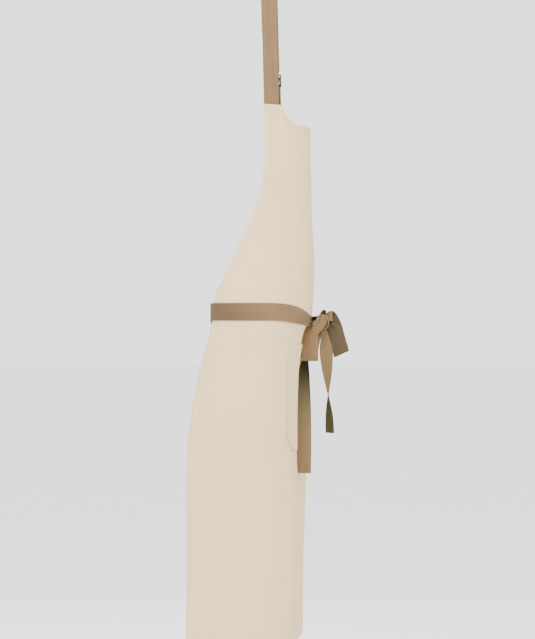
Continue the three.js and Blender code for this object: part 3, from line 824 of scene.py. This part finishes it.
foot_middle = strand(1, 1)[0]
top_middle = strand(1, 0)[0]
strand_length = (foot_middle - top_middle).length
SLIDE_UP = 62.0
SLIDE_PITCH = 9.0
SLIDE_BAR = 1.1
slide_share = 1 - SLIDE_UP / strand_length
slide_middle, slide_across, _ = strand(1, slide_share)
slide_down = (foot_middle - top_middle).normalized()
slide_out = slide_across.cross(slide_down).normalized()
BAR_REACH = SLIDE_BAR * math.sqrt(2) + 2 * FIT_GAP + HALF_THICK


def at_slide(s, n):
    """A station s down the strand from the slide's middle and n outwards from it."""
    return (slide_middle + slide_down * s + slide_out * n, slide_across, 1.0)


def round_bar(middle, degrees):
    return (middle + BAR_REACH * math.cos(math.radians(degrees)),
            BAR_REACH * math.sin(math.radians(degrees)))


last = slide_share - 2 * SLIDE_PITCH / strand_length
far_rows = strap_top(1) + [strand(1, last * k / 50) for k in range(51)]
route = [(-2 * SLIDE_PITCH, 0), (-SLIDE_PITCH - 2, -BAR_REACH), (-SLIDE_PITCH * 0.8, -BAR_REACH),
         (-SLIDE_PITCH * 0.2, BAR_REACH), (0, BAR_REACH)]
far_rows += [at_slide(s, n) for s, n in spline(route, 24)[1:]]
tape_piece("strap_far", far_rows, ["neck_strap_far"])

hang_off = -2 * BAR_REACH + 0.2
route = [round_bar(0, 75), round_bar(0, 40), round_bar(0, 0), (SLIDE_PITCH * 0.34, -2.2),
         (SLIDE_PITCH * 0.52, hang_off + 0.7), (SLIDE_PITCH, hang_off), (SLIDE_PITCH * 2, hang_off),
         (36, hang_off - 0.1), (52, hang_off - 0.8), (74, hang_off - 1.5)]
tape_piece("strap_free_end", [at_slide(s, n) for s, n in spline(route, 60)], ["neck_strap_end"],
           body="strap_end")

tab_layer = 0.95
TAB_EASE = 8
route = [(SLIDE_UP - TAB_EASE, tab_layer), (SLIDE_PITCH + TAB_EASE, tab_layer)]
route += [round_bar(SLIDE_PITCH, 45 + 27 * k) for k in range(11)]
route += [(SLIDE_PITCH + TAB_EASE, -tab_layer), (SLIDE_UP - TAB_EASE, -tab_layer)]
tab_rows = [sewn_row(1, down, SEWN_OFFSET) for down in range(int(STRAP_SEWN), 1, -2)]
tab_rows += [at_slide(s, n) for s, n in spline(route, 70)]
tab_rows += [sewn_row(1, down, OUTER_SEWN_OFFSET) for down in range(2, int(STRAP_SEWN) + 1, 2)]
tape_piece("strap_tab_doubled", tab_rows, ["strap_tab"])


def sewn_box(name, side, low, high):
    """The box of stitches with a cross in it that holds a strap inside a bib corner."""
    wide = 0.82
    corners = [(-wide, low), (wide, low), (wide, high), (-wide, high), (-wide, low), (wide, high),
               (wide, low), (-wide, high)]
    points = []
    for (a0, d0), (a1, d1) in zip(corners, corners[1:]):
        for k in range(12):
            a, z = a0 + (a1 - a0) * k / 12, BIB_TOP - d0 - (d1 - d0) * k / 12
            u = corner_u(side, z, a)
            points.append((off_cloth(u, z, OUTSIDE), cloth_face(u, z)))
    stitch_line(name, points, 2.2, 0.8, 0.5, natural_thread)


sewn_box("strap_stitching_near", -1, 5, 25)
sewn_box("strap_stitching_far", 1, 5, 25)

# ---------------------------------------------------------------- strap slide
# A flat steel frame with two slots, stamped from sheet with its edges rounded over.
steel_material, steel_wire, steel_shader = new_material("brushed steel", 0.3, 1.0)
place = steel_wire.node("ShaderNodeTexCoord", out="Object")
brushed = steel_wire.noise(steel_wire.stretched(place, 300, 300, 4200), 1.0, 2.0)
lead(steel_shader, Base_Color=brushed.mix(linear(58, 56, 54), linear(112, 109, 105)))
lead(steel_shader, Roughness=brushed.ranged(0.24, 0.42))
SLIDE_ROOM = 1.4
SLOT_EDGE = 2.5
shape = bmesh.new()
half_wide = (TAPE_WIDE + SLIDE_ROOM) / 2
xs = [-half_wide - 2 * SLIDE_BAR, -half_wide, half_wide, half_wide + 2 * SLIDE_BAR]
ss = [-SLIDE_PITCH - SLIDE_BAR, -SLIDE_PITCH + SLIDE_BAR, -SLIDE_BAR, SLIDE_BAR,
      SLIDE_PITCH - SLIDE_BAR, SLIDE_PITCH + SLIDE_BAR]
bmesh.ops.create_grid(shape, x_segments=3, y_segments=5, size=0.5)
for vert in shape.verts:
    vert.co.x = xs[round((vert.co.x + 0.5) * 3)]
    vert.co.y = ss[round((vert.co.y + 0.5) * 5)]
slots = [f for f in shape.faces if abs(f.calc_center_median().x) < half_wide
         and SLOT_EDGE < abs(f.calc_center_median().y) < SLIDE_PITCH - SLOT_EDGE]
bmesh.ops.delete(shape, geom=slots, context="FACES")
bmesh.ops.solidify(shape, geom=shape.faces[:], thickness=2 * SLIDE_BAR)
middle_z = (min(v.co.z for v in shape.verts) + max(v.co.z for v in shape.verts)) / 2
bmesh.ops.translate(shape, vec=(0, 0, -middle_z), verts=shape.verts)
bmesh.ops.recalc_face_normals(shape, faces=shape.faces)
sharp = [e for e in shape.edges if e.calc_face_angle(0) > 1]
bmesh.ops.bevel(shape, geom=sharp, offset=0.7, segments=3, profile=0.5, affect="EDGES", material=-1)
turned = Matrix((slide_across, slide_down, slide_out)).transposed().to_4x4()
bmesh.ops.transform(shape, verts=shape.verts,
                    matrix=Matrix.Scale(MM, 4) @ Matrix.Translation(slide_middle) @ turned)
bmesh.ops.recalc_face_normals(shape, faces=shape.faces)
keep_piece("steel_slide", shape, steel_material, "steel", "apron", "strap_slide")

# ---------------------------------------------------------------- waist ties
# Two long ties of the same twill tape, each sewn inside its own edge at the waist. They
# cross behind the open back, come forward over the other side and meet in the knot.
KNOT = Vector((224.5, -3, -628))
KNOT_R = Vector((8.5, 11, 10.5))
TIE_CROSS = 17.0
TIE_PINCHED = 16.0 / TAPE_WIDE
TIE_END = KNOT.z - KNOT_R.z + 3.5 + 8


def tie_row(u, z, offset, lean=0.0, keep=1.0):
    """A row of tie lying on the cloth: its edges follow the cloth above and below, and it
    gathers into small pleats where it keeps less than its width."""
    def place(a):
        pleat = (1 - keep) * 2.6 * (1 + math.cos(3 * math.pi * a + 0.6))
        return off_cloth(u, z + a * keep * TAPE_WIDE / 2, offset + lean * a + pleat)
    return place


def tie_stations(side):
    other = -side
    near = side < 0
    own = TIE_HEIGHT if near else TIE_HEIGHT - TIE_CROSS
    landing = TIE_HEIGHT + TIE_CROSS if near else TIE_HEIGHT
    bow = 4 if near else -9
    inside = -1.9
    rows = [tie_row(side * (0.9 + 0.099 * k / 8), own, inside - 0.6 * k / 8) for k in range(9)]
    start = off_cloth(side, own, -2.9)
    end = off_cloth(other * 1.01, landing, 3.9)
    for k in range(1, 41):
        t = k / 40
        at = start.lerp(end, t)
        level = smoothstep(t, 0, 0.78) if near else smoothstep(t, 0.22, 1)
        at.x += bow * math.sin(math.pi * t)
        at.z = own + (landing - own) * level
        rows.append((at, UP, 1.0))
    for k in range(91):
        u = 0.985 + (0.14 - 0.985) * k / 90
        settle = landing + (TIE_HEIGHT - landing) * smoothstep(k / 90, 0, 0.7)
        fall = smoothstep(1 - u, 0.35, 0.95)
        z = settle + (TIE_END - settle) * fall
        offset = 2.0 + 0.7 * (1 - smoothstep(k / 90, 0, 0.06)) + 0.25 * math.sin(17 * u)
        keep = 1 + (TIE_PINCHED - 1) * smoothstep(1 - u, 0.5, 0.9)
        rows.append(tie_row(other * u, z, offset, lean=-0.25, keep=keep))
    back = KNOT.x - KNOT_R.x
    ends = [tuple(rows[-4](0)), tuple(rows[-1](0)),
            (back - 5, KNOT.y + other * KNOT_R.y, TIE_END),
            (back + 0.6, KNOT.y + other * (KNOT_R.y - 5), TIE_END)]
    for x, y, z in spline(ends, 24)[9:]:
        rows.append((Vector((x, y, z)), UP, TIE_PINCHED))
    return rows


# Millimetres before the tie's end, and the painted shade on the tape there: darker where the band turns
# away round the back edge, and a dark painted shadow where it runs in under the loop and the knot.
TIE_SHADES = [(330, (1, 1, 1)), (300, (0.62, 0.63, 0.7)), (265, (0.7, 0.72, 0.78)),
              (215, (1, 1, 1)), (95, (1, 1, 1)), (60, (0.75, 0.75, 0.76)), (44, (0.4, 0.38, 0.36)),
              (36, (0.1, 0.1, 0.09)), (0, (0.07, 0.07, 0.06))]
for side, word in ((-1, "near"), (1, "far")):
    rows = tie_stations(side)
    length = tape_lengths(rows)[1][-1]
    painted_shades = [(length - left, shade_tint) for left, shade_tint in TIE_SHADES]
    tape_piece(f"tie_{word}", rows, [f"waist_tie_{word}"], columns=10,
               material=twill_material(f"{word} tie twill painted shade", *TAN, painted_shades=painted_shades))

# ---------------------------------------------------------------- bow knot
# The middle of the bow: the tape's own turns drawn tight round each other, so it is a
# pinched, creased band of the same twill over a crumpled core.
CORE_R = Vector((9.4, 11.4, 10.2))
CORE_MIDDLE = KNOT + Vector((-0.8, 0, -1.5))
KNOT_THICK = 1.2


def knot_wrap(name, turns, radius, keep, tilt, first):
    """A band of tape drawn tight round the knot, from the angle first through some turns."""
    stations = []
    for k in range(37):
        angle = math.radians(first + 360 * turns * k / 36)
        grow = 1 + 0.05 * k / 36
        middle = Vector((KNOT.x + KNOT_R.x * radius * grow * math.sin(angle),
                         KNOT.y + tilt * math.cos(angle),
                         KNOT.z + KNOT_R.z * radius * grow * math.cos(angle)))
        across = Vector((0, 1, 0.25 * math.sin(angle))).normalized()
        stations.append((middle, across, keep * (1 - 0.16 * math.cos(2 * angle))))
    tape_piece(name, stations, [], columns=16, thick=KNOT_THICK, pleats=3.0)


core_shape = bmesh.new()
bmesh.ops.create_icosphere(core_shape, subdivisions=4, radius=1)
for vert in core_shape.verts:
    v = vert.co
    crease = 1 + 0.05 * math.sin(6 * v.y + 4 * v.z) + 0.05 * math.sin(8 * v.x - 5 * v.z + 1)
    reach = Vector((v.x * CORE_R.x, v.y * CORE_R.y, v.z * CORE_R.z)) * crease
    vert.co = (CORE_MIDDLE + reach) * MM
pattern = core_shape.loops.layers.uv.new("Cloth")
for face in core_shape.faces:
    for corner in face.loops:
        corner[pattern].uv = (corner.vert.co.y, corner.vert.co.z)
keep_piece("knot_core", core_shape, twill, "tape", "apron", "bow_knot")
knot_wrap("knot_band", 1.12, 1.05, 0.6, 2.0, -150)
tuck_rows = [(Vector((223, -2, -624)), Vector((0.8, 0.6, 0)), 0.45),
             (Vector((225, -3, -617)), Vector((0.85, 0.5, 0.3)), 0.45),
             (Vector((227, -3, -612)), Vector((0.85, 0.5, 0.4)), 0.3),
             (Vector((228.5, -3, -608.5)), Vector((0.85, 0.5, 0.4)), 0.1)]
tuck_twill = twill_material("shaded twill", *TAN,
                            painted_shades=[(0, (0.3, 0.33, 0.25)), (20, (0.2, 0.24, 0.16))])
tape_piece("knot_tuck", tuck_rows, [], columns=6, thick=KNOT_THICK, material=tuck_twill)

# ---------------------------------------------------------------- bow loops and tails
# The loops droop either side of the knot, gathered at their roots. The long tail hangs in
# the skirt's pleat behind the near loop; the short one twists half round on its way down.
LOOP_ROUTE = [(0, None), (0.35, 0), (0.75, 0.08), (0.88, 0.2), (0.97, 0.34), (1, 0.46), (1, 0.8),
              (0.93, 0.96), (0.76, 1), (0.6, 0.95), (0.52, 0.76), (0.42, 0.42), (0.1, 0.3)]
NEAR_SPREAD = [0, 0, 0, 0.25, 0.97, 1, 1, 1, 1, 1, 1, 0.6, 0]
FAR_SPREAD = [0, 0.3, 0.65, 0.85, 1, 1, 1, 1, 1, 1, 1, 0.7, 0.05]


def loop_stations(side, root, gather, out, flare, top, drop, reach, tilt, stand, spreads):
    """A loop from the knot: gather is its width at the root, root and out how far it lies from
    the knot's middle there and where it is widest, drop and reach how far it hangs and spans."""
    start = KNOT.y + side * (KNOT_R.y + stand)
    route = []
    for (far, deep), spread in zip(LOOP_ROUTE, spreads):
        depth = (top - 1) / drop if deep is None else deep
        x = KNOT.x + root + (out - root) * spread + flare * depth
        keep = gather / TAPE_WIDE + (1 - gather / TAPE_WIDE) * spread
        route.append((x, start + side * reach * far, KNOT.z + top - drop * depth, 1, tilt * spread, keep))
    return [(Vector((x, y, z)), Vector((across, 0, lean)).normalized(), keep)
            for x, y, z, across, lean, keep in spline(route, 90)]


tape_piece("loop_near", loop_stations(-1, -1.5, 17, -20.5, 0, 9.5, 73, 26, 0, 1.2, NEAR_SPREAD),
           ["bow_loop_near"], body="loop_near", columns=14)

TAIL_TOP = KNOT.z - KNOT_R.z - FIT_GAP


def tail_stations(route, count):
    rows = [(KNOT.x + out, KNOT.y + aside, TAIL_TOP - down, ax, ay, az, keep)
            for (out, aside, down), (ax, ay, az), keep in route]
    return [(Vector(s[:3]), Vector(s[3:6]).normalized(), s[6]) for s in spline(rows, count)]


LONG_TAIL = [((-5.5, -2.5, 0), (0.6, 0.8, 0), 0.5), ((-14, -7, 13), (0.35, 0.93, 0), 0.6),
             ((-26, -9, 36), (0.2, 0.98, 0), 0.9), ((-31.5, -17, 86), (0.75, 0.66, 0), 1),
             ((-32, -22, 136), (0.95, 0.3, 0), 1), ((-32, -24, 191), (1, -0.05, 0), 1),
             ((-32.5, -24, 238), (1, 0, 0), 1)]
SHORT_TAIL = [((2.5, -1, 0), (0.35, 0.93, 0), 0.5), ((5.5, -5, 33), (0.75, 0.65, 0), 1),
              ((7.5, -6, 67), (0.6, 0.8, 0), 1), ((9.5, -5, 113), (-0.05, 1, 0), 1),
              ((11, -4, 143), (-0.4, 0.9, 0), 1), ((12, -4, 173), (-0.5, 0.85, 0.1), 1)]
# Painted shadow: the long tail is near black at its top, where it hangs in the shade of the near loop,
# and lightens down its length.
long_tail_shadow_twill = twill_material("long tail twill painted shadow", *TAN, painted_shades=[
    (0, (0.06, 0.085, 0.045)), (62, (0.06, 0.085, 0.045)), (74, (0.12, 0.16, 0.1)),
    (92, (0.27, 0.35, 0.28)), (112, (0.42, 0.53, 0.55)), (150, (0.7, 0.8, 0.82)),
    (185, (0.9, 0.98, 1)), (245, (0.95, 1, 1))])
# Painted shade: the short tail turns darker and olive below where it twists, its reverse face turned from
# the light.
short_tail_shaded_twill = twill_material("short tail twill painted shade", *TAN, painted_shades=[
    (0, (0.9, 0.9, 0.85)), (98, (0.9, 0.9, 0.85)), (108, (0.32, 0.56, 0.6)),
    (175, (0.38, 0.64, 0.68))])
# Painted shade: the far loop darkens past its root, where its inner face is turned away from the light.
far_loop_shaded_twill = twill_material("far loop twill painted shade", *TAN, painted_shades=[
    (0, (1, 1, 1)), (16, (0.9, 0.9, 0.9)), (30, (0.5, 0.57, 0.64)), (170, (0.45, 0.53, 0.6))])
tape_piece("loop_far", loop_stations(1, 4.5, 16, 12.5, 19, 15.5, 69, 24, 0.46, 1.5, FAR_SPREAD),
           ["bow_loop_far"], body="loop_far", columns=14, material=far_loop_shaded_twill)
long_rows = tail_stations(LONG_TAIL, 110)
tape_piece("tail_long_tape", long_rows, ["tail_long"], body="long_tail", material=long_tail_shadow_twill)
hem_middle, hem_across, _ = long_rows[-5]
hem_out = Vector((0, -1, 0))
hem_row = [(hem_middle + hem_across * (a * 1.2) + hem_out * 0.95, hem_out) for a in range(-10, 11)]
stitch_line("tail_long_hem", hem_row, 2.2, 0.7, 0.5, dark_thread, slot="tape", body="long_tail")
tape_piece("tail_short_tape", tail_stations(SHORT_TAIL, 90), ["tail_short"], body="short_tail",
           material=short_tail_shaded_twill)

# ---------------------------------------------------------------- hook
# A forged and painted iron hook: a plate with rounded corners, one long bent arm with a ball
# at its end, and two pan-head screws with cross recesses.
iron, iron_wire, iron_shader = new_material("black iron", 0.5, 0.35)
place = iron_wire.node("ShaderNodeTexCoord", out="Object")
forged = iron_wire.noise(place, 160, 4.0)
grain = iron_wire.noise(place, 1800, 2.0)
lead(iron_shader, Base_Color=forged.mix(linear(22, 22, 21), linear(52, 50, 47)))
lead(iron_shader, Roughness=forged.ranged(0.36, 0.62))
lead(iron_shader, Normal=(forged + grain * 0.3).bump(0.25, 0.0006))
iron_shader.inputs["Coat Weight"].default_value = 0.15


PLATE_FRONT = 4.0 + FIT_GAP
ARM_ROOT_UP = 12
ARM_TURN = 24
ARM_TIP_UP = 34
plate_low, plate_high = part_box("wall_plate")
shape = bmesh.new()
bmesh.ops.create_cube(shape, size=1)
size = plate_high - plate_low
bmesh.ops.scale(shape, vec=size, verts=shape.verts)
bmesh.ops.translate(shape, vec=(plate_low + plate_high) / 2, verts=shape.verts)
along_x = [e for e in shape.edges if abs((e.verts[0].co - e.verts[1].co).normalized().x) > 0.9]
bmesh.ops.bevel(shape, geom=along_x, offset=8 * MM, segments=8, profile=0.5, affect="EDGES",
                material=-1)
front = [e for e in shape.edges if all(abs(v.co.x - plate_high.x) < 1e-6 for v in e.verts)
         and e.calc_face_angle(0) > 1]
bmesh.ops.bevel(shape, geom=front, offset=1.2 * MM, segments=3, profile=0.5, affect="EDGES",
                material=-1)
keep_piece("iron_plate", shape, iron, "black_iron", "hook", "wall_plate")

# From the plate, down to the level stretch that holds the strap, and up to the tip.
level = SADDLE_X + ARM_TURN
arm_route = [(PLATE_FRONT, 0, ARM_ROOT_UP), (24, 0, ARM_ROOT_UP), (62, 0, ARM_ROOT_UP * 0.62),
             (92, 0, 1.2), (SADDLE_X - ARM_TURN, 0, 0), (SADDLE_X, 0, 0), (level, 0, 0),
             (level + ARM_TURN * 0.62, 0, 4), (level + ARM_TURN * 0.95, 0, ARM_TIP_UP * 0.45),
             (level + ARM_TURN, 0, ARM_TIP_UP)]
arm_line = [Vector(p) for p in spline(arm_route, 72)]
shape = bmesh.new()
bmesh.ops.create_cone(shape, cap_ends=True, segments=24, radius1=1, radius2=1, depth=1)
ring_faces = [f for f in shape.faces if f.normal.z > 0.9]
rings = [[v for v in shape.verts if v.co.z < 0], [v for v in shape.verts if v.co.z > 0]]
for k in range(1, len(arm_line) - 1):
    grown = bmesh.ops.extrude_discrete_faces(shape, faces=ring_faces)
    ring_faces = grown["faces"]
    rings.append(list(ring_faces[0].verts))
for k, ring in enumerate(rings):
    ahead = (arm_line[min(k + 1, len(arm_line) - 1)] - arm_line[max(k - 1, 0)]).normalized()
    side = Vector((0, 1, 0))
    lift = ahead.cross(side).normalized()
    for vert in ring:
        angle = math.atan2(vert.co.y, vert.co.x)
        vert.co = (arm_line[k] + (side * math.cos(angle) + lift * math.sin(angle)) * ARM_RADIUS) * MM
bmesh.ops.recalc_face_normals(shape, faces=shape.faces)
keep_piece("iron_arm", shape, iron, "black_iron", "hook", "hook_arm")

tip_low, tip_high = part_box("hook_tip")
shape = bmesh.new()
bmesh.ops.create_uvsphere(shape, u_segments=40, v_segments=24, radius=1)
for vert in shape.verts:
    vert.co.z += 0.06 * smoothstep(-vert.co.z, 0.7, 1.0)
bmesh.ops.scale(shape, vec=(tip_high - tip_low) / 2, verts=shape.verts)
bmesh.ops.translate(shape, vec=(tip_low + tip_high) / 2, verts=shape.verts)
keep_piece("iron_ball", shape, iron, "black_iron", "hook", "hook_tip")

# The cross recess of a screw, as shares of the head's radius and height.
RECESS_HALF = 0.12
RECESS_REACH = 0.55
RECESS_DEEP = 0.5
for word in ("upper", "lower"):
    low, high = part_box(f"screw_{word}")
    radius = (high.z - low.z) / 2
    shape = bmesh.new()
    bmesh.ops.create_uvsphere(shape, u_segments=32, v_segments=16, radius=1)
    below = bmesh.ops.bisect_plane(shape, geom=shape.verts[:] + shape.edges[:] + shape.faces[:],
                                   plane_co=(0, 0, 0), plane_no=(0, 0, 1), clear_inner=True)
    rim = [e for e in below["geom_cut"] if isinstance(e, bmesh.types.BMEdge)]
    bmesh.ops.contextual_create(shape, geom=rim)
    bmesh.ops.recalc_face_normals(shape, faces=shape.faces)
    for vert in shape.verts:
        narrow, wide = sorted((abs(vert.co.x), abs(vert.co.y)))
        if narrow < RECESS_HALF and wide < RECESS_REACH and vert.co.z > RECESS_DEEP:
            vert.co.z -= RECESS_DEEP
    face_x = PLATE_FRONT * MM
    turned = Matrix(((0, 0, 1), (0, 1, 0), (-1, 0, 0))).to_4x4()
    size = Matrix.Diagonal((high.x - face_x, radius, radius, 1))
    bmesh.ops.transform(shape, verts=shape.verts,
                        matrix=Matrix.Translation((face_x, 0, (low.z + high.z) / 2)) @ size @ turned)
    bmesh.ops.recalc_face_normals(shape, faces=shape.faces)
    keep_piece(f"steel_screw_{word}", shape, steel_material, "steel", "hook", f"screw_{word}")
